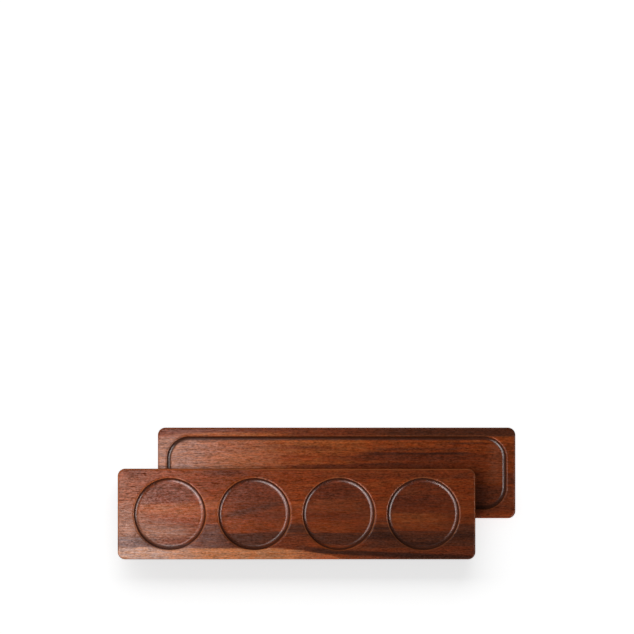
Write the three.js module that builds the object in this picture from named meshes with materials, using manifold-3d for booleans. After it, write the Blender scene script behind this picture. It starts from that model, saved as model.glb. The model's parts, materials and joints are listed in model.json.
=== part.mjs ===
// A pair of long wooden serving boards, one lying across the other.
// Each board is edge-glued from three full-length staves. The upper board has a row of round wells for
// dipping pots, the lower board has one long tray, and one coved cutter shapes the walls of both.
// Millimetres, +Z up, +X along the boards. The origin is under the middle of the pair, on the table.

import * as THREE from "three";
import { mergeVertices } from "three/addons/utils/BufferGeometryUtils.js";
import Module from "manifold-3d";

const wasm = await Module();
wasm.setup();

// Board blank
const BOARD_LENGTH = 580;
const BOARD_WIDTH = 147;
const BOARD_THICKNESS = 20;
const PLAN_CORNER_RADIUS = 12;
const EDGE_ROUND = 3;

// Staves: each board has a wide one along one side and a narrow one along the other, and the middle one
// takes the rest of the width.
const WIDE_STAVE = 53;
const NARROW_STAVE = 41;
const GLUE_LINE = 0.1;

// Wall left by the cutter: a cove at the floor and an eased lip at the face
const COVE_RADIUS = 9;
const LIP_ROUND = 1;

// Wells of the upper board, measured where the lip meets the face
const WELL_COUNT = 4;
const WELL_PITCH = 137;
const WELL_MOUTH = 118;
const WELL_DEPTH = 6;

// Tray of the lower board, measured where the lip meets the face
const TRAY_LENGTH = 552;
const TRAY_WIDTH = 120;
const TRAY_CORNER_RADIUS = 37;
const TRAY_DEPTH = 6;

// How the upper board lies on the lower one: shifted to the left and to the front
const STACK_SHIFT_LEFT = 65;
const STACK_SHIFT_FRONT = 66.5;
const STACK_CLEARANCE = 0.2;

// Oiled wood, from the palest stave to the darkest
const OIL_ROUGHNESS = 0.42;
const RED_BROWN = 0x8f4a2b;
const WARM_BROWN = 0x7c3a1c;
const DARK_BROWN = 0x6a3019;
const HEARTWOOD = 0x4e2a1c;

// Facets: straight steps in a board's corner, a tray's corner, an edge round, a lip, a cove and a full well
const CORNER_STEPS = 8;
const TRAY_CORNER_STEPS = 12;
const EDGE_STEPS = 4;
const LIP_STEPS = 2;
const COVE_STEPS = 6;
const WELL_STEPS = 64;

// How far a cutter or slab runs past the wood, and how close two points count as one
const OVERRUN = 5;
const WELD = 1e-4;
const SHARPEST_CORNER = 0.5;

const HALF_WIDTH = BOARD_WIDTH / 2;
const QUARTER_TURN = Math.PI / 2;

// A closed three.js geometry as a solid that can be joined and cut.
function solidOf(geometry) {
  const bare = geometry.clone();
  bare.deleteAttribute("normal");
  bare.deleteAttribute("uv");
  const welded = mergeVertices(bare, WELD);
  const mesh = new wasm.Mesh({
    numProp: 3,
    vertProperties: welded.attributes.position.array,
    triVerts: new Uint32Array(welded.index.array),
  });
  return new wasm.Manifold(mesh);
}

// A cut solid back as a three.js geometry.
function geometryOf(solid) {
  const mesh = solid.getMesh();
  const geometry = new THREE.BufferGeometry();
  geometry.setAttribute("position", new THREE.BufferAttribute(mesh.vertProperties, 3));
  geometry.setIndex(new THREE.BufferAttribute(mesh.triVerts, 1));
  geometry.computeVertexNormals();
  return geometry;
}

// A rectangle with round corners, centred on the origin and drawn anticlockwise.
function roundedRectangle(length, width, radius) {
  const corner = Math.max(radius, SHARPEST_CORNER);
  const x = length / 2 - corner;
  const y = width / 2 - corner;
  return new THREE.Shape()
    .absarc(x, -y, corner, -QUARTER_TURN, 0)
    .absarc(x, y, corner, 0, QUARTER_TURN)
    .absarc(-x, y, corner, QUARTER_TURN, 2 * QUARTER_TURN)
    .absarc(-x, -y, corner, 2 * QUARTER_TURN, 3 * QUARTER_TURN);
}

// A solid through rings of equal point count, listed from the bottom up: each has its points and height.
function loft(rings) {
  const count = rings[0].points.length;
  const positions = rings.flatMap(({ points, height }) => points.flatMap((p) => [p.x, p.y, height]));
  const faces = [];
  for (let ring = 0; ring < rings.length - 1; ring++) {
    for (let i = 0; i < count; i++) {
      const low = ring * count + i;
      const lowNext = ring * count + ((i + 1) % count);
      faces.push(low, lowNext, lowNext + count, low, lowNext + count, low + count);
    }
  }
  const top = (rings.length - 1) * count;
  for (const [a, b, c] of THREE.ShapeUtils.triangulateShape(rings[0].points, [])) {
    faces.push(c, b, a);
  }
  for (const [a, b, c] of THREE.ShapeUtils.triangulateShape(rings.at(-1).points, [])) {
    faces.push(top + a, top + b, top + c);
  }
  const geometry = new THREE.BufferGeometry();
  geometry.setAttribute("position", new THREE.Float32BufferAttribute(positions, 3));
  geometry.setIndex(faces);
  return geometry;
}

// The wall of a recess, from its lip at the face to its floor. Each point is how far it lies inside the
// mouth (x) and its height above the face (y). Lip and cove are two arcs that share a tangent: they lean
// as far as the depth needs, and in a deep recess an upright wall joins them.
function recessWall(depth) {
  const arcs = COVE_RADIUS + LIP_ROUND;
  const lean = Math.acos(Math.max(0, 1 - depth / arcs));
  const run = arcs * Math.sin(lean);
  const lip = new THREE.ArcCurve(0, -LIP_ROUND, LIP_ROUND, QUARTER_TURN, QUARTER_TURN - lean, true);
  const coveHeight = COVE_RADIUS - depth;
  const cove = new THREE.ArcCurve(run, coveHeight, COVE_RADIUS, -QUARTER_TURN - lean, -QUARTER_TURN, false);
  const lipPoints = lip.getPoints(LIP_STEPS);
  const covePoints = cove.getPoints(COVE_STEPS);
  const arcsMeet = lipPoints.at(-1).distanceTo(covePoints[0]) < WELD;
  return [...(arcsMeet ? lipPoints.slice(0, -1) : lipPoints), ...covePoints];
}

// Cutter for one round well, with the board's face at height 0.
function wellCutter() {
  const radius = WELL_MOUTH / 2;
  const wall = recessWall(WELL_DEPTH).reverse();
  const profile = [
    new THREE.Vector2(0, -WELL_DEPTH),
    ...wall.map((p) => new THREE.Vector2(radius - p.x, p.y)),
    new THREE.Vector2(radius, OVERRUN),
    new THREE.Vector2(0, OVERRUN),
  ];
  const turned = new THREE.LatheGeometry(profile, WELL_STEPS);
  return turned.rotateX(QUARTER_TURN);
}

// Cutter for the tray, with the board's face at height 0.
function trayCutter() {
  const ring = (inset, height) => {
    const outline = roundedRectangle(
      TRAY_LENGTH - 2 * inset,
      TRAY_WIDTH - 2 * inset,
      TRAY_CORNER_RADIUS - inset,
    );
    return { points: outline.getPoints(TRAY_CORNER_STEPS / 2), height };
  };
  const wall = recessWall(TRAY_DEPTH).reverse();
  return loft([...wall.map((p) => ring(p.x, p.y)), ring(0, OVERRUN)]);
}

// The uncut board: its plan outline, with both faces' edges rounded over.
function boardBlank() {
  const outline = roundedRectangle(BOARD_LENGTH, BOARD_WIDTH, PLAN_CORNER_RADIUS);
  const blank = new THREE.ExtrudeGeometry(outline, {
    depth: BOARD_THICKNESS - 2 * EDGE_ROUND,
    curveSegments: CORNER_STEPS / 2,
    bevelEnabled: true,
    bevelThickness: EDGE_ROUND,
    bevelSize: EDGE_ROUND,
    bevelOffset: -EDGE_ROUND,
    bevelSegments: EDGE_STEPS,
  });
  return blank.translate(0, 0, EDGE_ROUND);
}

// A board as a group of stave meshes, sawn apart at the glue lines. Staves are listed from the rear.
function board(prefix, cutters, rearWidth, frontWidth, staves) {
  let wood = solidOf(boardBlank());
  for (const cutter of cutters) {
    wood = wood.subtract(solidOf(cutter.translate(0, 0, BOARD_THICKNESS)));
  }
  const planes = [
    HALF_WIDTH + OVERRUN,
    HALF_WIDTH - rearWidth,
    frontWidth - HALF_WIDTH,
    -HALF_WIDTH - OVERRUN,
  ];
  const group = new THREE.Group();
  group.name = prefix;
  staves.forEach(({ name, colour }, i) => {
    const rear = planes[i] - GLUE_LINE / 2;
    const front = planes[i + 1] + GLUE_LINE / 2;
    const slab = new THREE.BoxGeometry(
      BOARD_LENGTH + 2 * OVERRUN,
      rear - front,
      BOARD_THICKNESS + 2 * OVERRUN,
    );
    slab.translate(0, (rear + front) / 2, BOARD_THICKNESS / 2);
    const oiled = new THREE.MeshStandardMaterial({
      color: colour,
      roughness: OIL_ROUGHNESS,
      metalness: 0,
    });
    const stave = new THREE.Mesh(geometryOf(wood.intersect(solidOf(slab))), oiled);
    stave.name = `${prefix}_${name}`;
    group.add(stave);
  });
  return group;
}

const wells = Array.from({ length: WELL_COUNT }, (_, i) =>
  wellCutter().translate((i - (WELL_COUNT - 1) / 2) * WELL_PITCH, 0, 0),
);

const upperBoard = board("upper_board", wells, WIDE_STAVE, NARROW_STAVE, [
  { name: "rear_stave", colour: RED_BROWN },
  { name: "middle_stave", colour: WARM_BROWN },
  { name: "front_stave", colour: HEARTWOOD },
]);
upperBoard.position.set(
  -STACK_SHIFT_LEFT / 2,
  -STACK_SHIFT_FRONT / 2,
  BOARD_THICKNESS + STACK_CLEARANCE,
);

const lowerBoard = board("lower_board", [trayCutter()], NARROW_STAVE, WIDE_STAVE, [
  { name: "rear_stave", colour: WARM_BROWN },
  { name: "middle_stave", colour: RED_BROWN },
  { name: "front_stave", colour: DARK_BROWN },
]);
lowerBoard.position.set(STACK_SHIFT_LEFT / 2, STACK_SHIFT_FRONT / 2, 0);

const pair = new THREE.Group();
pair.name = "serving_board_pair";
pair.add(lowerBoard, upperBoard);

export default pair;
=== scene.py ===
"""Looks of two long oiled-wood serving boards, one lying partly on the other, around their CAD frame."""

import json
import logging
import math
from dataclasses import dataclass, field
from enum import Enum

import bpy
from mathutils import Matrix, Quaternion, Vector


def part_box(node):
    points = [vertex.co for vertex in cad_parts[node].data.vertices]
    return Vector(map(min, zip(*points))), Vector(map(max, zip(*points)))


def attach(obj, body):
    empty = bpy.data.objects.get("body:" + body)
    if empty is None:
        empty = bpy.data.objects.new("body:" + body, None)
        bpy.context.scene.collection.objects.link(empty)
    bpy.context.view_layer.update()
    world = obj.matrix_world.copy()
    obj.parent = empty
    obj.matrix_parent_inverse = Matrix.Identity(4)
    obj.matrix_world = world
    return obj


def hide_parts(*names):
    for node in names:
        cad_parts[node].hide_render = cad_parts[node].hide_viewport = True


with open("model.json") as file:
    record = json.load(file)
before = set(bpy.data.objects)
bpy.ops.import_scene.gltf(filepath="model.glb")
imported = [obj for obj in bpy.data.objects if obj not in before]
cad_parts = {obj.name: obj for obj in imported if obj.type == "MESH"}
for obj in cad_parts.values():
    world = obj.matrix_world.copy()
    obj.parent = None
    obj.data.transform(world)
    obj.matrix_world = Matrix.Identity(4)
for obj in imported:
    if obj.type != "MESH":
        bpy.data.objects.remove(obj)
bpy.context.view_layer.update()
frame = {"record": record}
MM = 0.001

log = logging.getLogger("serving_boards")

Socket = bpy.types.NodeSocket
Point = tuple[float, float]
Ring = tuple[list[Point], float]
Span = tuple[float, float]
Colour = tuple[float, float, float]


def srgb(red: int, green: int, blue: int) -> Colour:
    """Turns a display colour into the linear one that shaders take.

    Args:
        red: Red, 0 to 255.
        green: Green, 0 to 255.
        blue: Blue, 0 to 255.

    Returns:
        The linear colour, each part 0 to 1.
    """
    def linear(part: float) -> float:
        """One channel from display to linear."""
        return part / 12.92 if part <= 0.04045 else ((part + 0.055) / 1.055) ** 2.4

    return linear(red / 255), linear(green / 255), linear(blue / 255)


class Cut(Enum):
    """How one solid shapes another."""

    TAKE_AWAY = "DIFFERENCE"
    KEEP_COMMON = "INTERSECT"


def circle(radius: float, steps: int) -> list[Point]:
    """Points round a circle about the origin, anticlockwise."""
    turns = [math.tau * i / steps for i in range(steps)]
    return [(radius * math.cos(a), radius * math.sin(a)) for a in turns]


def rounded_rectangle(length: float, width: float, radius: float, steps: int) -> list[Point]:
    """Points round a rectangle with round corners, anticlockwise.

    Args:
        length: Size along X.
        width: Size along Y.
        radius: Corner radius.
        steps: Straight steps in each corner.

    Returns:
        The outline's points, centred on the origin.
    """
    x, y = length / 2 - radius, width / 2 - radius
    points = []
    for quarter, (cx, cy) in enumerate([(x, y), (-x, y), (-x, -y), (x, -y)]):
        for i in range(steps + 1):
            a = (quarter + i / steps) * math.pi / 2
            points.append((cx + radius * math.cos(a), cy + radius * math.sin(a)))
    return points


def loft(name: str, rings: list[Ring], centre: Vector) -> bpy.types.Object:
    """Makes a closed solid through outlines of equal point count.

    Args:
        name: Name of the new object.
        rings: Outlines with their heights above centre, from the bottom up.
        centre: Point that the outlines are placed about.

    Returns:
        The solid, linked to the scene.
    """
    count = len(rings[0][0])
    verts = [centre + Vector((x, y, z)) for points, z in rings for x, y in points]
    faces = [list(range(count))[::-1]]
    for ring in range(len(rings) - 1):
        for i in range(count):
            low, low_next = ring * count + i, ring * count + (i + 1) % count
            faces.append([low, low_next, low_next + count, low + count])
    top = (len(rings) - 1) * count
    faces.append([top + i for i in range(count)])
    mesh = bpy.data.meshes.new(name)
    mesh.from_pydata(verts, [], faces)
    solid = bpy.data.objects.new(name, mesh)
    bpy.context.collection.objects.link(solid)
    return solid


def shape_by(target: bpy.types.Object, tool: bpy.types.Object, cut: Cut) -> None:
    """Shapes one solid by another and removes the other.

    Args:
        target: Solid that is changed.
        tool: Solid that does the shaping.
        cut: What is kept.
    """
    step = target.modifiers.new("shape", "BOOLEAN")
    step.object = tool
    step.operation = cut.value
    step.solver = "MANIFOLD"
    graph = bpy.context.evaluated_depsgraph_get()
    shaped = bpy.data.meshes.new_from_object(target.evaluated_get(graph))
    target.modifiers.clear()
    target.data = shaped
    bpy.data.objects.remove(tool)


@dataclass(frozen=True)
class CoveCutter:
    """Round-nosed cutter that leaves a cove at a recess's floor, and a lip that is then sanded off.

    Attributes:
        cove_radius: Radius of the cove.
        lip_round: Radius between the cove and the sanded strip.
        sanded_width: Width of the strip that is sanded off round the mouth.
        sanded_drop: How far the strip drops below the face at its inner side.
        sanded_inside: How far the strip reaches inside the mouth.
        cove_steps: Straight steps in the cove.
        lip_steps: Straight steps in the lip.
        sanded_steps: Straight steps across the strip.
        overrun: How far the cutter stands above the face.
    """

    cove_radius: float = 9 * MM
    lip_round: float = 1 * MM
    sanded_width: float = 3.0 * MM
    sanded_drop: float = 1.0 * MM
    sanded_inside: float = 0.4 * MM
    cove_steps: int = 18
    lip_steps: int = 4
    sanded_steps: int = 8
    overrun: float = 5 * MM

    def wall(self, depth: float) -> list[Point]:
        """Section of a recess wall, from its floor over its lip to the face and up past it.

        Args:
            depth: Depth of the recess.

        Returns:
            Points as how far each lies inside the mouth and its height above the face.
        """
        arcs = self.cove_radius + self.lip_round
        tilt = math.atan2(2 * self.sanded_drop, self.sanded_width)
        lip_top = self.sanded_inside - self.lip_round * math.sin(tilt)
        lip_middle = -self.sanded_drop - self.lip_round * math.cos(tilt)
        lean = math.acos((self.cove_radius - depth - lip_middle) / arcs)
        floor_edge = lip_top + arcs * math.sin(lean)
        section = []
        for i in range(self.cove_steps + 1):
            a = lean * i / self.cove_steps
            inset = floor_edge - self.cove_radius * math.sin(a)
            section.append((inset, self.cove_radius * (1 - math.cos(a)) - depth))
        for i in range(1, self.lip_steps + 1):
            a = lean + (tilt - lean) * i / self.lip_steps
            inset = lip_top + self.lip_round * math.sin(a)
            section.append((inset, lip_middle + self.lip_round * math.cos(a)))
        for i in range(1, self.sanded_steps + 1):
            left = 1 - i / self.sanded_steps
            inset = self.sanded_inside - self.sanded_width * (1 - left)
            section.append((inset, -self.sanded_drop * left**2))
        return section + [(section[-1][0], self.overrun)]


@dataclass(frozen=True)
class WellRow:
    """A row of round wells for dipping pots.

    Attributes:
        cutter: Cutter that leaves their walls.
        count: How many there are.
        pitch: Distance between their middles.
        mouth: Width at the face, before sanding.
        depth: Depth below the face.
        steps: Straight steps round each.
        cove_shade_fall: Where painted shade on the walls starts and stops fading, in mm inside the
            mouth.
        side_gloss: Share of the cove's glaze on walls that run along the grain.
    """

    cutter: CoveCutter = CoveCutter()
    count: int = 4
    pitch: float = 137 * MM
    mouth: float = 118 * MM
    depth: float = 6 * MM
    steps: int = 160
    cove_shade_fall: Span = (2.0, 6.5)
    side_gloss: float = 1.0

    def cutters(self, face: Vector) -> list[bpy.types.Object]:
        """Solids that sink the wells.

        Args:
            face: Middle of the board's serving face.

        Returns:
            One solid for each well.
        """
        wall = self.cutter.wall(self.depth)
        rings = [(circle(self.mouth / 2 - inset, self.steps), z) for inset, z in wall]
        return [loft("well", rings, face + Vector((x, 0, 0))) for x in self.places()]

    def places(self) -> list[float]:
        """Where the wells' middles lie along the board."""
        return [(i - (self.count - 1) / 2) * self.pitch for i in range(self.count)]

    def inset(self, wood: "GrainGraph") -> Socket:
        """How far each point of the wood lies inside a mouth, in millimetres.

        Args:
            wood: The material that measures it.

        Returns:
            The distance, below 0 on the board's face.
        """
        nearest: object = self.mouth / MM
        flat = wood.join(wood.along, wood.across, 0.0)
        for x in self.places():
            nearest = wood.maths("MINIMUM", nearest, wood.length("SUBTRACT", flat, (x / MM, 0, 0)))
        return wood.maths("SUBTRACT", self.mouth / 2 / MM, nearest)


@dataclass(frozen=True)
class LongTray:
    """One long tray with round corners.

    Attributes:
        cutter: Cutter that leaves its wall.
        length: Length at the face, before sanding.
        width: Width at the face, before sanding.
        corner_radius: Radius of its corners there.
        depth: Depth below the face.
        steps: Straight steps in each corner.
        cove_shade_fall: Where painted shade on the wall starts and stops fading, in mm inside the mouth.
        side_gloss: Share of the cove's glaze on walls that run along the grain.
    """

    cutter: CoveCutter = CoveCutter()
    length: float = 552 * MM
    width: float = 120 * MM
    corner_radius: float = 37 * MM
    depth: float = 6 * MM
    steps: int = 32
    cove_shade_fall: Span = (5.0, 8.5)
    side_gloss: float = 0.2

    def cutters(self, face: Vector) -> list[bpy.types.Object]:
        """Solids that sink the tray.

        Args:
            face: Middle of the board's serving face.

        Returns:
            The one solid that sinks it.
        """
        rings = []
        for inset, z in self.cutter.wall(self.depth):
            outline = rounded_rectangle(
                self.length - 2 * inset,
                self.width - 2 * inset,
                self.corner_radius - inset,
                self.steps,
            )
            rings.append((outline, z))
        return [loft("tray", rings, face)]

    def inset(self, wood: "GrainGraph") -> Socket:
        """How far each point of the wood lies inside the mouth, in millimetres.

        Args:
            wood: The material that measures it.

        Returns:
            The distance, below 0 on the board's face.
        """
        radius = self.corner_radius / MM
        straight = (self.length / 2 / MM - radius, self.width / 2 / MM - radius, 0)
        aside = wood.vector("ABSOLUTE", wood.join(wood.along, wood.across, 0.0))
        past = wood.vector("SUBTRACT", aside, straight)
        return wood.maths("SUBTRACT", radius, wood.length("MAXIMUM", past, (0, 0, 0)))


Recess = WellRow | LongTray


@dataclass(frozen=True)
class Streak:
    """A dark or pale streak along the grain, in millimetres from the middle of the board's face.

    Attributes:
        low: Its front side.
        high: Its rear side.
        colour: Its colour.
        strength: How strongly it covers what lies under it.
        soft: How far its sides blur, each way.
        fray: How far noise moves its sides.
        start: Its left end.
        end: Its right end.
        fade: How far its ends blur, each way.
        drift: How far it moves to the rear with each millimetre to the right.
        bend: How fast it bends off to the front, with the square of the distance.
        bend_from: Where that bend starts.
        sunk: Whether it shows only well below the face, as on the floor of a recess.
    """

    low: float
    high: float
    colour: Colour
    strength: float = 0.8
    soft: float = 2.5
    fray: float = 8.0
    start: float = -400.0
    end: float = 400.0
    fade: float = 50.0
    drift: float = 0.0
    bend: float = 0.0
    bend_from: float = 0.0
    sunk: bool = False


@dataclass(frozen=True)
class Fibre:
    """Noise drawn out along the grain, in millimetres.

    Attributes:
        length: Length of its lumps along the grain.
        width: Their width across the growth rings.
        depth: Their depth into the wood.
        shift: Offset that sets it apart from other noise.
        detail: Finer layers in it.
        weight: How far it swings what it is added to.
    """

    length: float
    width: float
    depth: float
    shift: float
    detail: float = 2.0
    weight: float = 1.0


RING_DRIFT = Fibre(300, 40, 60, shift=11.0, detail=1.0, weight=10.0)
BROAD_BANDS = Fibre(400, 26, 60, shift=1.0, weight=0.6)
BANDS = Fibre(260, 7, 26, shift=2.0, weight=0.4)
MOTTLE = Fibre(26, 30, 30, shift=4.0, weight=0.4)
LINES = Fibre(120, 2.0, 9, shift=6.0, detail=3.0, weight=0.9)
DASHES = Fibre(14, 1.6, 4, shift=3.0, weight=1.2)
SPECKS = Fibre(4.2, 1.8, 3, shift=8.0, detail=1.0, weight=1.6)
FLECKS = Fibre(16, 2.2, 5, shift=9.0)
PORES = Fibre(18, 1.2, 2.4, shift=5.0, detail=1.0)


@dataclass(frozen=True)
class WoodFinish:
    """Wood of one stave.

    Attributes:
        deep: Its darkest tone.
        main: Its middle tone.
        pale: Its palest tone.
        seed: Offset that sets its noise apart from other staves'.
        lean: How far its growth rings lean to the rear with each millimetre up.
        roughness: Roughness of its oiled surface.
        roughness_spread: What the dashes of its grain add to that.
        shine: Share of the oil's shine that its face keeps.
        rubbed_and_highlight: How far its lips and edges are paled, as rubbed wear and as painted
            highlight.
        contrast: Strength of its fine grain.
    """

    deep: Colour
    main: Colour
    pale: Colour
    seed: float
    lean: float = 0.0
    roughness: float = 0.20
    roughness_spread: float = 0.06
    shine: float = 1.0
    rubbed_and_highlight: float = 0.3
    contrast: float = 1.0


@dataclass(frozen=True)
class OilFinish:
    """How oil, use, painted cove shade and painted edge highlight show on every stave.

    A span is where a share starts to rise and where it is full, or where it starts to fall and where
    it has gone: in millimetres inside a mouth for face, cove shade, glaze and lip, in millimetres above
    the face for sunk, in how far the wood faces up for edge and matt, in how far it faces the board's
    ends for cross_cut, and in noise for pore, fleck and sheen.
    """

    face: Span = (0.0, -2.0)
    sunk: Span = (-3.0, -5.5)
    # Painted shade: a dark band on the recess walls, just inside the mouth.
    cove_shade_rise: Span = (0.2, 1.2)
    cove_shade_strength: float = 0.9
    cove_shade_colour: Colour = srgb(54, 28, 18)
    glaze_rise: Span = (1.0, 3.0)
    glaze_fall: Span = (6.0, 9.0)
    glaze: float = 0.38
    cross_cut: Span = (0.08, 0.35)
    # Lips and edges are paled, partly as rubbed wear and partly as painted highlight.
    lip_rise: Span = (-1.3, -0.5)
    lip_fall: Span = (0.1, 0.7)
    edge_rise: Span = (0.1, 0.5)
    edge_fall: Span = (0.9, 0.99)
    rubbed_and_highlight_colour: Colour = srgb(176, 104, 62)
    matt: Span = (0.8, 0.5)
    matt_roughness: float = 0.4
    matt_dryness: float = 0.9
    thirst: float = 0.5
    thirst_tint: Colour = (0.45, 0.36, 0.32)
    pore: Span = (0.58, 0.68)
    pore_shade: float = 0.4
    pore_tint: Colour = (0.45, 0.40, 0.38)
    pore_roughness: float = 0.12
    pore_dryness: float = 0.5
    pore_depth: float = 0.6
    fleck: Span = (0.36, 0.64)
    warm_fleck: Colour = (1.10, 0.97, 0.80)
    cool_fleck: Colour = (0.90, 1.03, 1.20)
    sheen: Span = (0.75, 1.3)
    sheen_gain: float = 0.19
    sheen_least: float = 0.06
    sheen_plain: float = 0.2
    oil_ior: float = 1.47
    relief: float = 0.15 * MM
    relief_strength: float = 0.05


class GrainGraph:
    """Builds the node material of one stave from its wood, its oil and its board's streaks."""

    noise_middle: float = 0.5
    noise_roughness: float = 0.6
    seed_steps: tuple[float, float, float] = (1.0, 1.7, 0.3)
    deep_stop: float = 0.15
    main_stop: float = 0.5
    pale_stop: float = 0.85

    def __init__(
        self, name: str, finish: WoodFinish, oil: OilFinish, face: Vector, recess: Recess
    ) -> None:
        """Starts a material and measures where each point of the wood lies.

        Args:
            name: Material name.
            finish: Wood of the stave.
            oil: Oil and use of the board.
            face: Middle of the board's serving face, in metres.
            recess: The recess in that face.
        """
        self.finish = finish
        self.oil = oil
        self.material = bpy.data.materials.new(name)
        self.material.use_nodes = True
        self.tree = self.material.node_tree
        self.tree.nodes.clear()
        coords = self.node("ShaderNodeTexCoord")
        placed = coords.outputs["Object"]
        local = self.vector("MULTIPLY_ADD", placed, (1 / MM,) * 3, tuple(-face / MM))
        self.along, self.across, self.up = self.split(local)
        self.end_grain, _, self.facing_up = self.split(coords.outputs["Normal"])
        self.inset = recess.inset(self)
        self.on_face = self.step(self.inset, *oil.face)
        # Painted shade: where the recess walls are darkened.
        self.painted_cove_shade = self.between(self.inset, oil.cove_shade_rise, recess.cove_shade_fall)
        cross_cut = self.step(self.maths("ABSOLUTE", self.end_grain), *oil.cross_cut)
        gloss = self.maths("MULTIPLY_ADD", cross_cut, 1 - recess.side_gloss, recess.side_gloss)
        cove = self.between(self.inset, oil.glaze_rise, oil.glaze_fall)
        self.glazed = self.maths("MULTIPLY", cove, gloss)

    def node(self, kind: str, **settings: object) -> bpy.types.Node:
        """Adds a node and sets its properties."""
        made = self.tree.nodes.new(kind)
        for key, value in settings.items():
            setattr(made, key, value)
        return made

    def feed(self, socket: Socket, value: object) -> None:
        """Links a socket to another or sets its value."""
        if isinstance(value, bpy.types.NodeSocket):
            self.tree.links.new(value, socket)
        else:
            socket.default_value = value

    def maths(self, operation: str, *values: object, clamp: bool = False) -> Socket:
        """One scalar sum.

        Args:
            operation: Blender's name of the sum.
            values: Sockets or numbers that it takes.
            clamp: Whether the result is kept from 0 to 1.

        Returns:
            The result's socket.
        """
        made = self.node("ShaderNodeMath", operation=operation, use_clamp=clamp)
        for socket, value in zip(made.inputs, values):
            self.feed(socket, value)
        return made.outputs[0]

    def vector(self, operation: str, *values: object) -> Socket:
        """One vector sum, as maths does for numbers."""
        made = self.node("ShaderNodeVectorMath", operation=operation)
        for socket, value in zip(made.inputs, values):
            self.feed(socket, value)
        return made.outputs[0]

    def length(self, operation: str, *values: object) -> Socket:
        """Length of the result of one vector sum."""
        made = self.node("ShaderNodeVectorMath", operation="LENGTH")
        self.feed(made.inputs[0], self.vector(operation, *values))
        return made.outputs["Value"]

    def join(self, *parts: object) -> Socket:
        """One vector from its three parts."""
        made = self.node("ShaderNodeCombineXYZ")
        for socket, value in zip(made.inputs, parts):
            self.feed(socket, value)
        return made.outputs[0]

    def split(self, vector: Socket) -> tuple[Socket, Socket, Socket]:
        """The three parts of a vector."""
        made = self.node("ShaderNodeSeparateXYZ")
        self.feed(made.inputs[0], vector)
        return made.outputs[0], made.outputs[1], made.outputs[2]

    def step(self, value: Socket, low: float, high: float) -> Socket:
        """A smooth rise from 0 at low to 1 at high."""
        made = self.node("ShaderNodeMapRange", interpolation_type="SMOOTHSTEP")
        self.feed(made.inputs["Value"], value)
        made.inputs["From Min"].default_value = low
        made.inputs["From Max"].default_value = high
        return made.outputs[0]

    def between(self, value: Socket, rise: Span, fall: Span) -> Socket:
        """A smooth rise from 0 to 1 and fall back to 0.

        Args:
            value: What is compared.
            rise: Where the rise starts and ends.
            fall: Where the fall starts and ends.

        Returns:
            The share, 0 to 1.
        """
        return self.maths("MULTIPLY", self.step(value, *rise), self.step(value, fall[1], fall[0]))

    def fibre(self, kind: Fibre) -> Socket:
        """Noise drawn out along the grain.

        Args:
            kind: The size and shift of its lumps.

        Returns:
            The noise, about 0.5 on average.
        """
        seed = self.finish.seed + kind.shift
        lumps = (1 / kind.length, 1 / kind.width, 1 / kind.depth)
        shift = tuple(seed * step for step in self.seed_steps)
        made = self.node("ShaderNodeTexNoise")
        self.feed(made.inputs["Vector"], self.vector("MULTIPLY_ADD", self.grain, lumps, shift))
        made.inputs["Scale"].default_value = 1.0
        made.inputs["Detail"].default_value = kind.detail
        made.inputs["Roughness"].default_value = self.noise_roughness
        return made.outputs["Fac"]

    def swing(self, noise: Socket, weight: float, base: object) -> Socket:
        """Swings a value up and down with noise."""
        centred = self.maths("SUBTRACT", noise, self.noise_middle)
        return self.maths("MULTIPLY_ADD", centred, weight, base)

    def mix(self, amount: object, under: object, over: object, blend: str = "MIX") -> Socket:
        """Mixes two colours.

        Args:
            amount: Share of the second colour.
            under: First colour, a socket or a linear colour.
            over: Second colour.
            blend: Blender's name of the way that they mix.

        Returns:
            The mixed colour's socket.
        """
        made = self.node("ShaderNodeMix", data_type="RGBA", blend_type=blend)
        colours = [i for i in made.inputs if i.type == "RGBA"]
        self.feed(made.inputs["Factor"], amount)
        for socket, value in zip(colours, (under, over)):
            self.feed(socket, (*value, 1.0) if isinstance(value, tuple) else value)
        return next(o for o in made.outputs if o.type == "RGBA")

    def shade(self, amount: object, colour: Socket, dark: Colour) -> Socket:
        """Multiplies a colour down by a dark tint."""
        return self.mix(amount, colour, dark, "MULTIPLY")

    def lay_grain(self) -> None:
        """Sets out the grain's coordinates, along, across the leaning rings and up, and its noise."""
        rings = self.maths("MULTIPLY_ADD", self.up, -self.finish.lean, self.across)
        self.grain = self.join(self.along, rings, self.up)
        self.rings = self.swing(self.fibre(RING_DRIFT), RING_DRIFT.weight, rings)
        self.grain = self.join(self.along, self.rings, self.up)
        self.bands = self.fibre(BANDS)
        self.lines = self.fibre(LINES)
        self.dashes = self.fibre(DASHES)
        self.specks = self.fibre(SPECKS)
        self.pores = self.step(self.fibre(PORES), *self.oil.pore)

    def streak(self, streak: Streak) -> Socket:
        """How strongly one streak shows at each point, frayed by the bands and broken up by the lines.

        Args:
            streak: The streak.

        Returns:
            Its strength, 0 to 1.
        """
        across = self.maths("MULTIPLY_ADD", self.along, -streak.drift, self.rings)
        if streak.bend:
            past = self.maths("SUBTRACT", self.along, streak.bend_from)
            past = self.maths("MAXIMUM", past, 0.0)
            bent = self.maths("MULTIPLY", self.maths("MULTIPLY", past, past), streak.bend)
            across = self.maths("ADD", across, bent)
        across = self.swing(self.bands, streak.fray, across)
        soft, fade = streak.soft, streak.fade
        front, rear = (streak.low - soft, streak.low + soft), (streak.high - soft, streak.high + soft)
        left, right = (streak.start - fade, streak.start + fade), (streak.end - fade, streak.end + fade)
        width, length = self.between(across, front, rear), self.between(self.along, left, right)
        broken = self.maths("ADD", self.lines, self.noise_middle)
        share = self.maths("MULTIPLY", self.maths("MULTIPLY", width, length), broken)
        if streak.sunk:
            share = self.maths("MULTIPLY", share, self.step(self.up, *self.oil.sunk))
        return self.maths("MULTIPLY", share, streak.strength, clamp=True)

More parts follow.
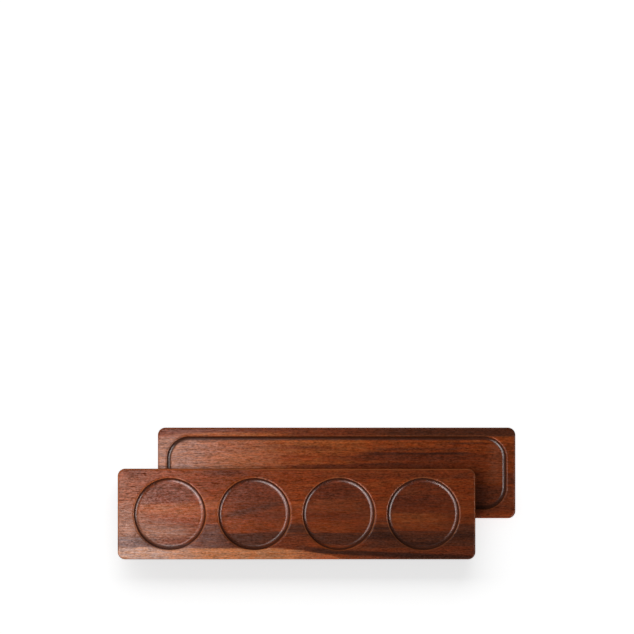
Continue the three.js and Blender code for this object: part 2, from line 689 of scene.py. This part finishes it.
    def figure(self, streaks: list[Streak]) -> Socket:
        """The stave's own colour in broad bands, with the board's streaks over it.

        Args:
            streaks: The board's streaks, the lowest layer first.

        Returns:
            The colour.
        """
        tone = self.swing(self.fibre(BROAD_BANDS), BROAD_BANDS.weight, self.noise_middle)
        tone = self.swing(self.bands, BANDS.weight, tone)
        tone = self.swing(self.fibre(MOTTLE), MOTTLE.weight, tone)
        ramp = self.node("ShaderNodeValToRGB")
        self.feed(ramp.inputs[0], tone)
        stops = ramp.color_ramp.elements
        stops[0].position, stops[0].color = self.deep_stop, (*self.finish.deep, 1.0)
        stops[1].position, stops[1].color = self.pale_stop, (*self.finish.pale, 1.0)
        middle = stops.new(self.main_stop)
        middle.color = (*self.finish.main, 1.0)
        colour = ramp.outputs[0]
        for streak in streaks:
            colour = self.mix(self.streak(streak), colour, streak.colour)
        return colour

    def fine_grain(self, colour: Socket) -> Socket:
        """Breaks a colour up into fine lines, dashes, specks, flecks and pores.

        Args:
            colour: The colour in bands and streaks.

        Returns:
            The colour of clean wood.
        """
        fine: object = 1.0
        for kind, noise in ((LINES, self.lines), (DASHES, self.dashes), (SPECKS, self.specks)):
            fine = self.swing(noise, kind.weight * self.finish.contrast, fine)
        colour = self.mix(1.0, colour, fine, "MULTIPLY")
        fleck = self.step(self.fibre(FLECKS), *self.oil.fleck)
        tint = self.mix(fleck, self.oil.warm_fleck, self.oil.cool_fleck)
        colour = self.mix(1.0, colour, tint, "MULTIPLY")
        pore_shade = self.maths("MULTIPLY", self.pores, self.oil.pore_shade)
        return self.shade(pore_shade, colour, self.oil.pore_tint)

    def wear_and_painted_light(self, colour: Socket) -> Socket:
        """Darkens thirsty end grain, paints shade into the recess walls, and pales the lips and edges.

        Args:
            colour: The clean wood.

        Returns:
            The wood in use.
        """
        oil = self.oil
        end_face = self.maths("MULTIPLY", self.end_grain, self.end_grain)
        thirst = self.maths("MULTIPLY", self.maths("MULTIPLY", end_face, oil.thirst), self.on_face)
        colour = self.shade(thirst, colour, oil.thirst_tint)
        # Painted shade on the recess walls.
        colour = self.mix(self.maths("MULTIPLY", self.painted_cove_shade, oil.cove_shade_strength), colour, oil.cove_shade_colour)
        # Lips and edges are paled, partly as rubbed wear and partly as painted highlight.
        lip = self.between(self.inset, oil.lip_rise, oil.lip_fall)
        edge = self.between(self.facing_up, oil.edge_rise, oil.edge_fall)
        edge = self.maths("MULTIPLY", edge, self.on_face)
        rubbed_and_highlight = self.maths("MULTIPLY", self.maths("MAXIMUM", lip, edge), self.finish.rubbed_and_highlight)
        return self.mix(rubbed_and_highlight, colour, oil.rubbed_and_highlight_colour)

    def roughness(self, matt_edge: Socket) -> Socket:
        """Roughness of the oil, which dashes, pores and matt edges add to.

        Args:
            matt_edge: Share of the board's matt edge at each point.

        Returns:
            The roughness.
        """
        wood = self.finish
        rough = self.maths("MULTIPLY_ADD", self.dashes, wood.roughness_spread, wood.roughness)
        rough = self.maths("MULTIPLY_ADD", self.pores, self.oil.pore_roughness, rough)
        return self.maths("MULTIPLY_ADD", matt_edge, self.oil.matt_roughness, rough)

    def sheen(self, matt_edge: Socket) -> Socket:
        """Strength of the oil's shine: patchy, less in pores and on matt edges, and most in the cove.

        Args:
            matt_edge: Share of the board's matt edge at each point.

        Returns:
            The level of specular light.
        """
        oil = self.oil
        patch = self.step(self.maths("ADD", self.specks, self.dashes), *oil.sheen)
        patch = self.maths("MULTIPLY_ADD", self.pores, -oil.pore_dryness, patch)
        sheen = self.maths("MULTIPLY_ADD", patch, oil.sheen_gain, oil.sheen_least, clamp=True)
        kept = self.maths("MULTIPLY_ADD", matt_edge, -oil.matt_dryness, 1.0)
        kept = self.maths("MULTIPLY_ADD", self.on_face, self.finish.shine - 1, kept, clamp=True)
        return self.maths("MULTIPLY_ADD", self.glazed, oil.glaze, self.maths("MULTIPLY", sheen, kept))

    def relief(self) -> Socket:
        """Surface direction over raised dashes and sunk pores.

        Returns:
            The direction.
        """
        bump = self.node("ShaderNodeBump")
        bump.inputs["Strength"].default_value = self.oil.relief_strength
        bump.inputs["Distance"].default_value = self.oil.relief
        height = self.maths("MULTIPLY_ADD", self.pores, -self.oil.pore_depth, self.dashes)
        self.feed(bump.inputs["Height"], height)
        return bump.outputs[0]

    def paint(self, streaks: list[Streak]) -> bpy.types.Material:
        """Wires the whole material.

        Args:
            streaks: The board's streaks, the lowest layer first.

        Returns:
            The material.
        """
        self.lay_grain()
        matt_edge = self.maths("MULTIPLY", self.step(self.facing_up, *self.oil.matt), self.on_face)
        shader = self.node("ShaderNodeBsdfPrincipled")
        self.feed(shader.inputs["Base Color"], self.wear_and_painted_light(self.fine_grain(self.figure(streaks))))
        self.feed(shader.inputs["Roughness"], self.roughness(matt_edge))
        # Plain level under the link, for tools that can't follow it
        shader.inputs["Specular IOR Level"].default_value = self.oil.sheen_plain
        self.feed(shader.inputs["Specular IOR Level"], self.sheen(matt_edge))
        self.feed(shader.inputs["IOR"], self.oil.oil_ior)
        self.feed(shader.inputs["Normal"], self.relief())
        output = self.node("ShaderNodeOutputMaterial")
        self.feed(output.inputs["Surface"], shader.outputs[0])
        return self.material


@dataclass
class ServingBoard:
    """One board, edge-glued from staves, with a recess sunk into its face."""

    body: str
    recess: Recess
    finishes: dict[str, WoodFinish]
    streaks: list[Streak]
    oil: OilFinish = OilFinish()
    corner_radius: float = 12 * MM
    edge_round: float = 3 * MM
    corner_steps: int = 20
    edge_steps: int = 10
    overrun: float = 5 * MM
    glue_line: float = 0.1 * MM
    smooth_under: float = math.radians(32)
    low: Vector = field(init=False)
    high: Vector = field(init=False)

    def __post_init__(self) -> None:
        """Takes the board's box from its staves in the frame."""
        boxes = [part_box(self.node(stave)) for stave in self.finishes]
        self.low = Vector(min(lo[i] for lo, _ in boxes) for i in range(3))
        self.high = Vector(max(hi[i] for _, hi in boxes) for i in range(3))

    def node(self, stave: str) -> str:
        """Name of a stave's node in the frame."""
        return f"{self.body}_{stave}"

    @property
    def face(self) -> Vector:
        """Middle of the serving face."""
        middle = (self.low + self.high) / 2
        return Vector((middle.x, middle.y, self.high.z))

    def blank(self) -> bpy.types.Object:
        """The uncut board, with both faces' edges rounded over.

        Returns:
            The solid.
        """
        size = self.high - self.low
        edge = self.edge_round
        arc = [math.pi / 2 * i / self.edge_steps for i in range(self.edge_steps + 1)]
        lower = [(edge * (1 - math.sin(a)), edge * (1 - math.cos(a))) for a in arc]
        upper = [(inset, size.z - z) for inset, z in reversed(lower)]
        rings = []
        for inset, z in lower + upper:
            outline = rounded_rectangle(
                size.x - 2 * inset,
                size.y - 2 * inset,
                self.corner_radius - inset,
                self.corner_steps,
            )
            rings.append((outline, z))
        return loft(self.body, rings, self.face - Vector((0, 0, size.z)))

    def stave(self, name: str, first: bool, last: bool) -> bpy.types.Object:
        """Cuts one stave out of the carved board.

        Args:
            name: The stave's name.
            first: Whether it has the board's rear edge.
            last: Whether it has the board's front edge.

        Returns:
            The stave, smooth where it is round.
        """
        lo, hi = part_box(self.node(name))
        spare = self.overrun
        front = lo.y - (spare if last else self.glue_line / 2)
        rear = hi.y + (spare if first else self.glue_line / 2)
        reach = self.high.x - self.low.x + 2 * spare
        tall = self.high.z - self.low.z + 2 * spare
        half_x, half_y = reach / 2, (rear - front) / 2
        corners = [(-half_x, -half_y), (half_x, -half_y), (half_x, half_y), (-half_x, half_y)]
        middle = Vector((self.face.x, (front + rear) / 2, self.low.z - spare))
        slab = loft("slab", [(corners, 0.0), (corners, tall)], middle)

        piece = self.blank()
        for cutter in self.recess.cutters(self.face):
            shape_by(piece, cutter, Cut.TAKE_AWAY)
        shape_by(piece, slab, Cut.KEEP_COMMON)
        piece.name = f"{self.node(name)}_wood"
        piece.data.shade_smooth()
        piece.data.set_sharp_from_angle(angle=self.smooth_under)
        keep_flat = piece.modifiers.new("keep_flat", "WEIGHTED_NORMAL")
        keep_flat.keep_sharp = True
        return piece

    def build(self) -> list[bpy.types.Object]:
        """Builds, dresses and places every stave.

        Returns:
            The staves, from the rear.
        """
        slots = {part["node"]: part["material_slot"] for part in frame["record"]["subparts"]}
        names = list(self.finishes)
        made = []
        for name in names:
            piece = self.stave(name, name == names[0], name == names[-1])
            graph = GrainGraph(piece.name, self.finishes[name], self.oil, self.face, self.recess)
            wood = graph.paint(self.streaks)
            piece.data.materials.clear()
            piece.data.materials.append(wood)
            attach(piece, self.body)
            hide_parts(self.node(name))
            slots[self.node(name)]
            made.append(piece)
        return made


class Role(Enum):
    """What a lamp is there for."""

    WOOD = "lights the boards without a glint"
    FLOOR = "lights the floor alone and throws the shadow on it"
    GLINT = "shows only as a glint in the oil"


@dataclass(frozen=True)
class Softbox:
    """One soft lamp, aimed at a point.

    Attributes:
        name: Its name.
        role: What it is there for.
        place: Where it hangs.
        aim: The point that it is aimed at.
        size: Its width and height.
        power: Its power, in watts.
        beam: How wide its light spreads, in degrees.
        turn: How far it is turned about its aim, in degrees.
    """

    name: str
    role: Role
    place: tuple[float, float, float]
    aim: tuple[float, float, float]
    size: tuple[float, float]
    power: float
    beam: float = 180.0
    turn: float = 0.0

    def hang(self, floor: bpy.types.Object, casters: list[bpy.types.Object]) -> None:
        """Adds the lamp, which the camera doesn't see.

        Args:
            floor: The floor, which only a lamp for the floor lights.
            casters: The pieces that throw a shadow on the floor.
        """
        data = bpy.data.lights.new(self.name, "AREA")
        data.shape = "RECTANGLE"
        data.size, data.size_y = self.size
        data.energy = self.power
        data.spread = math.radians(self.beam)
        lamp = bpy.data.objects.new(self.name, data)
        bpy.context.collection.objects.link(lamp)
        lamp.location = self.place
        aim = Vector(self.aim) - Vector(self.place)
        turned = Quaternion((0, 0, 1), math.radians(self.turn))
        lamp.rotation_euler = (aim.to_track_quat("-Z", "Y") @ turned).to_euler()
        lamp.visible_camera = False
        lamp.visible_diffuse = self.role is not Role.GLINT
        lamp.visible_glossy = self.role is Role.GLINT
        reached = bpy.data.collections.new(f"{self.name}_reach")
        reached.objects.link(floor)
        reached.collection_objects[0].light_linking.link_state = (
            "INCLUDE" if self.role is Role.FLOOR else "EXCLUDE"
        )
        lamp.light_linking.receiver_collection = reached
        if self.role is Role.FLOOR:
            shading = bpy.data.collections.new(f"{self.name}_shading")
            for piece in casters:
                shading.objects.link(piece)
            lamp.light_linking.blocker_collection = shading


@dataclass(frozen=True)
class Studio:
    """Pale floor, white surroundings, soft lamps and the photograph's camera.

    Attributes:
        lamps: The soft lamps.
        floor_reach: How far the floor reaches each way.
        floor_drop: How far it lies below the boards.
        floor_white: How much light it gives back.
        floor_glow: What it adds to that for the camera and in glints.
        room_light: Light of the room on the boards and the floor.
        room_glint: Light of the room in glints.
        camera_height: How high the camera stands.
        camera_rear: How far it stands behind the middle of the pair.
        camera_right: How far it stands to the right of that.
        camera_reach: How far it sees.
        view_width: Width of the picture, at the view's level.
        view_level: Height at which that width is measured.
        sensor: Width of the camera's sensor, in millimetres.
    """

    lamps: tuple[Softbox, ...]
    floor_reach: float = 30.0
    floor_drop: float = 0.2 * MM
    floor_white: float = 0.82
    floor_glow: float = 0.68
    room_light: float = 0.15
    room_glint: float = 0.02
    camera_height: float = 30.0
    camera_rear: float = 286.3 * MM
    camera_right: float = 0.65 * MM
    camera_reach: float = 100.0
    view_width: float = 1028.4 * MM
    view_level: float = 30 * MM
    sensor: float = 36.0

    def lay_floor(self) -> bpy.types.Object:
        """Lays a pale floor that keeps the shadow and shows white to the camera.

        Returns:
            The floor.
        """
        reach = self.floor_reach
        corners = [(-reach, -reach, 0), (reach, -reach, 0), (reach, reach, 0), (-reach, reach, 0)]
        mesh = bpy.data.meshes.new("floor")
        mesh.from_pydata(corners, [], [(0, 1, 2, 3)])
        floor = bpy.data.objects.new("floor", mesh)
        bpy.context.collection.objects.link(floor)
        floor.location.z = -self.floor_drop
        mesh.materials.append(self.floor_material())
        return floor

    def floor_material(self) -> bpy.types.Material:
        """Matt white floor, with a glow that only the camera and glints see.

        Returns:
            The material.
        """
        material = bpy.data.materials.new("pale_floor")
        material.use_nodes = True
        nodes, links = material.node_tree.nodes, material.node_tree.links
        nodes.clear()
        matt = nodes.new("ShaderNodeBsdfDiffuse")
        white = self.floor_white
        matt.inputs["Color"].default_value = (white, white, white, 1)
        glow = nodes.new("ShaderNodeEmission")
        path = nodes.new("ShaderNodeLightPath")
        seen = nodes.new("ShaderNodeMath")
        seen.operation = "MAXIMUM"
        links.new(path.outputs["Is Camera Ray"], seen.inputs[0])
        links.new(path.outputs["Is Glossy Ray"], seen.inputs[1])
        strength = nodes.new("ShaderNodeMath")
        strength.operation = "MULTIPLY"
        links.new(seen.outputs[0], strength.inputs[0])
        strength.inputs[1].default_value = self.floor_glow
        links.new(strength.outputs[0], glow.inputs["Strength"])
        both = nodes.new("ShaderNodeAddShader")
        links.new(matt.outputs[0], both.inputs[0])
        links.new(glow.outputs[0], both.inputs[1])
        output = nodes.new("ShaderNodeOutputMaterial")
        links.new(both.outputs[0], output.inputs["Surface"])
        return material

    def light_room(self, floor: bpy.types.Object, casters: list[bpy.types.Object]) -> None:
        """Hangs the lamps and sets a dim room that is white to the camera.

        Args:
            floor: The floor, which each lamp lights or passes over.
            casters: The pieces that throw a shadow on the floor.
        """
        for lamp in self.lamps:
            lamp.hang(floor, casters)
        world = bpy.data.worlds.new("room")
        bpy.context.scene.world = world
        world.use_nodes = True
        nodes, links = world.node_tree.nodes, world.node_tree.links
        back = nodes["Background"]
        back.inputs["Color"].default_value = (1, 1, 1, 1)
        path = nodes.new("ShaderNodeLightPath")
        dim = nodes.new("ShaderNodeMapRange")
        links.new(path.outputs["Is Glossy Ray"], dim.inputs["Value"])
        dim.inputs["To Min"].default_value = self.room_light
        dim.inputs["To Max"].default_value = self.room_glint
        level = nodes.new("ShaderNodeMapRange")
        links.new(path.outputs["Is Camera Ray"], level.inputs["Value"])
        links.new(dim.outputs[0], level.inputs["To Min"])
        level.inputs["To Max"].default_value = 1.0
        links.new(level.outputs[0], back.inputs["Strength"])

    def set_camera(self) -> None:
        """Looks straight down on the boards through a long lens, framed as the photograph is."""
        data = bpy.data.cameras.new("photo_camera")
        data.sensor_width = self.sensor
        data.lens = self.sensor * (self.camera_height - self.view_level) / self.view_width
        data.clip_end = self.camera_reach
        camera = bpy.data.objects.new("photo_camera", data)
        bpy.context.collection.objects.link(camera)
        camera.location = (self.camera_right, self.camera_rear, self.camera_height)
        bpy.context.scene.camera = camera


EBONY = srgb(50, 26, 18)
HEARTWOOD = srgb(72, 37, 23)
UMBER = srgb(84, 37, 20)
HONEY = srgb(158, 83, 35)
ROSE = srgb(140, 90, 68)
PALE_ROSE = srgb(160, 112, 92)
# Painted sheen: a grey-mauve that pales the dark streaks towards the upper board's left end.
PAINTED_SHEEN = srgb(118, 90, 83)
SAPWOOD = srgb(166, 103, 65)
DEEP_SAPWOOD = srgb(143, 65, 31)
PALE_SAPWOOD = srgb(167, 124, 104)

UPPER = ServingBoard(
    body="upper_board",
    recess=WellRow(),
    finishes={
        "rear_stave": WoodFinish(
            srgb(92, 38, 12), srgb(122, 51, 17), srgb(150, 70, 26), seed=3.0, lean=2.17, shine=0.7
        ),
        "middle_stave": WoodFinish(
            srgb(96, 40, 13), srgb(126, 54, 18), srgb(156, 76, 30), seed=7.0, lean=2.17, contrast=0.7
        ),
        "front_stave": WoodFinish(
            srgb(84, 36, 13), srgb(114, 49, 18), srgb(150, 74, 31), seed=12.0, lean=2.17, rubbed_and_highlight=0.12
        ),
    },
    streaks=[
        Streak(-42, 14, ROSE, 0.85, soft=9, end=-235, fade=60),
        Streak(14, 66, ROSE, 0.45, soft=9, end=-245, fade=50),
        Streak(-34, -14, PALE_ROSE, 0.35, soft=5, fray=14, end=-245, fade=30),
        Streak(15, 31, HONEY, 0.5, start=-255, end=-160, fade=40),
        Streak(31, 62, UMBER, 0.4, soft=4, start=-255, end=-165, fade=20, sunk=True),
        Streak(-28, -4, ROSE, 0.5, soft=3, start=-250, end=-170, fade=25, sunk=True),
        Streak(-24, -12, PALE_ROSE, 0.45, soft=3, fray=14, start=-245, end=-180, fade=25, sunk=True),
        Streak(60, 80, UMBER, 0.6, start=-285, end=-240, fade=20),
        Streak(60, 80, UMBER, 0.8, start=-150, end=-75, fade=30),
        Streak(58, 80, UMBER, 0.35, start=-75, end=60, fade=30),
        Streak(56, 80, UMBER, 0.6, start=60, fade=40),
        Streak(0, 75, UMBER, 0.62, soft=9, fray=10, start=-115, fade=25, sunk=True),
        Streak(31, 40, HEARTWOOD, 0.65, soft=4, start=-120, end=-20, fade=30, drift=0.23),
        Streak(12, 62, UMBER, 0.32, soft=8, start=40, fade=40),
        Streak(36, 46, UMBER, 0.6, start=20, end=100, fade=30),
        Streak(42, 60, UMBER, 0.5, soft=4, start=20, end=110, fade=30, sunk=True),
        Streak(16, 38, HONEY, 0.1, soft=4, start=20, end=110, fade=30, sunk=True),
        Streak(24, 42, UMBER, 0.85, soft=4, start=125, end=235, fade=30, sunk=True),
        Streak(-10, 16, HONEY, 0.22, soft=4, start=125, end=240, fade=30, sunk=True),
        Streak(-26, -2, UMBER, 0.55, soft=4, fray=14, start=80, fade=30),
        # Painted sheen over the dark streak near the left end.
        Streak(-57, -36, PAINTED_SHEEN, 0.7, soft=4, end=-165, fade=15),
        Streak(-62, -38, HEARTWOOD, 0.7, soft=3, start=-255, end=-165, fade=15, sunk=True),
        Streak(-52, -28, HEARTWOOD, 0.6, soft=4, start=-260, end=-228, fade=10),
        Streak(-56, -17, HEARTWOOD, 0.68, soft=2, fray=5, start=-160, end=-118, fade=15),
        # Painted sheen over that dark streak.
        Streak(-56, -17, PAINTED_SHEEN, 0.22, soft=3, start=-160, end=-118, fade=15),
        Streak(-56, -18, HEARTWOOD, 0.95, soft=4, start=-118, end=-45, fade=20),
        Streak(-56, -34, UMBER, 0.4, soft=4, start=-40, end=20, fade=20),
        Streak(-34, -16, HEARTWOOD, 0.95, soft=4, fray=12, start=-60, fade=30, drift=-0.03),
        Streak(-95, -34, UMBER, 0.8, soft=6, start=90, fade=60),
        Streak(-52, -16, HEARTWOOD, 0.8, soft=2, fray=10, start=110, fade=25),
        Streak(-13, -10, HEARTWOOD, 0.6, soft=1.2, fray=5, start=105, end=175, fade=15),
        Streak(-25, -21, EBONY, 0.45, soft=1.2, fray=6, start=100, end=180, fade=20),
        Streak(-40, -30, EBONY, 0.7, soft=2, fray=10, start=105, fade=25),
        Streak(-61, -52, EBONY, 0.9, soft=2, fray=4, start=0, fade=40, drift=-0.055),
        Streak(-120, -56, SAPWOOD, 1.0, soft=1.5, fray=3, bend=0.001, bend_from=-50),
        Streak(
            -120, -56, DEEP_SAPWOOD, 0.8, soft=1.5, fray=3, start=10, fade=40, bend=0.001, bend_from=-50
        ),
        Streak(-120, -55, PALE_SAPWOOD, 0.95, soft=2, fray=3, end=-190, fade=60),
    ],
)

LOWER = ServingBoard(
    body="lower_board",
    recess=LongTray(),
    finishes={
        "rear_stave": WoodFinish(
            srgb(90, 38, 12), srgb(118, 50, 17), srgb(150, 72, 28), seed=21.0, rubbed_and_highlight=0.12
        ),
        "middle_stave": WoodFinish(
            srgb(94, 40, 13), srgb(122, 52, 17), srgb(154, 76, 30), seed=27.0, rubbed_and_highlight=0.12
        ),
        "front_stave": WoodFinish(
            srgb(88, 37, 15), srgb(118, 50, 20), srgb(150, 72, 34), seed=33.0, rubbed_and_highlight=0.12
        ),
    },
    streaks=[
        Streak(33, 56, HONEY, 0.5, soft=5, start=-240, end=40, fade=60),
        Streak(5, 33, HONEY, 0.75, soft=5, start=-230, end=-115, fade=50),
        Streak(-10, 58, ROSE, 0.25, soft=6, start=-200, end=-110, fade=40),
        Streak(-10, 58, PALE_ROSE, 0.75, soft=6, end=-215, fade=60),
        Streak(59, 66, HONEY, 0.7, soft=2, start=-250, end=-90, fade=30),
        Streak(66, 95, UMBER, 0.6, soft=3, end=-100, fade=60),
        Streak(58, 95, UMBER, 0.65, start=-90, end=60, fade=40),
        Streak(59, 95, HEARTWOOD, 0.95, soft=3, start=50, fade=60),
        Streak(36, 42, UMBER, 0.7, start=-100, end=0, drift=-0.03),
        Streak(-6, 44, UMBER, 0.2, soft=6, start=70, end=215, fade=30),
        # Painted reflection: a pale rosy band on the tray floor near its right wall.
        Streak(-16, 46, ROSE, 0.2, soft=6, start=248, end=268, fade=10, sunk=True),
        Streak(20, 31, UMBER, 0.75, soft=3, start=10, end=210, fade=60),
        Streak(8, 16, UMBER, 0.7, start=-60, end=170, fade=40),
        Streak(-4, 5, UMBER, 0.7, start=40, end=240, fade=60),
        Streak(8, 30, UMBER, 0.4, soft=3, start=110, end=270, fade=40),
        Streak(30, 35, EBONY, 0.75, soft=1.2, fray=5, start=40, end=220, fade=25),
        Streak(14, 18, EBONY, 0.5, soft=1.2, fray=6, start=30, end=130, fade=25),
        Streak(38, 41, HEARTWOOD, 0.6, soft=1.2, fray=5, start=60, end=200, fade=30),
        Streak(45, 49, EBONY, 0.6, soft=1.2, fray=5, start=175, end=250, fade=20),
        Streak(-62, -22, HEARTWOOD, 0.6, soft=4, start=190, end=285, fade=20),
        Streak(-19, 2, UMBER, 0.8, soft=2, start=272, fade=6),
    ],
)

STUDIO = Studio(
    lamps=(
        Softbox(
            "key_softbox",
            Role.WOOD,
            place=(-0.74, 0.10, 0.95),
            aim=(0.0, 0.0, 0.03),
            size=(1.0, 1.0),
            power=13.4,
        ),
        Softbox(
            "ceiling_softbox",
            Role.WOOD,
            place=(0.0, 0.12, 1.5),
            aim=(0.0, 0.12, 0.0),
            size=(4.0, 1.5),
            power=8.2,
        ),
        Softbox(
            "fill_softbox",
            Role.WOOD,
            place=(0.9, -1.4, 0.22),
            aim=(0.0, 0.0, 0.02),
            size=(2.0, 0.4),
            power=12.0,
        ),
        Softbox(
            "rear_softbox",
            Role.FLOOR,
            place=(-26.0, 15.0, 11.5),
            aim=(-26.0, 0.0, 0.0),
            size=(70.0, 10.0),
            power=5400.0,
        ),
        Softbox(
            "veil_softbox",
            Role.GLINT,
            place=(-0.35, 0.01, 1.0),
            aim=(-0.35, 0.01, 0.0),
            size=(0.3, 0.5),
            power=3.8,
            turn=-25.0,
        ),
        Softbox(
            "left_softbox",
            Role.GLINT,
            place=(-0.72, -0.62, 0.90),
            aim=(-0.24, -0.03, 0.03),
            size=(1.3, 0.8),
            power=6.2,
            beam=80.0,
        ),
        Softbox(
            "right_softbox",
            Role.GLINT,
            place=(1.05, -0.34, 0.85),
            aim=(0.1, 0.0, 0.03),
            size=(1.0, 0.5),
            power=12.0,
        ),
    ),
)


def save_size() -> None:
    """Updates the view layer."""
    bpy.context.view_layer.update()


def main() -> None:
    """Builds the boards and the studio."""
    logging.basicConfig(level=logging.INFO, format="%(name)s: %(message)s")
    bpy.context.scene.view_settings.view_transform = "Standard"
    lower, upper = LOWER.build(), UPPER.build()
    for piece in lower + upper:
        log.info("%s has %d faces", piece.name, len(piece.data.polygons))
    STUDIO.light_room(STUDIO.lay_floor(), upper)
    STUDIO.set_camera()
    save_size()


if __name__ == "__main__":
    main()
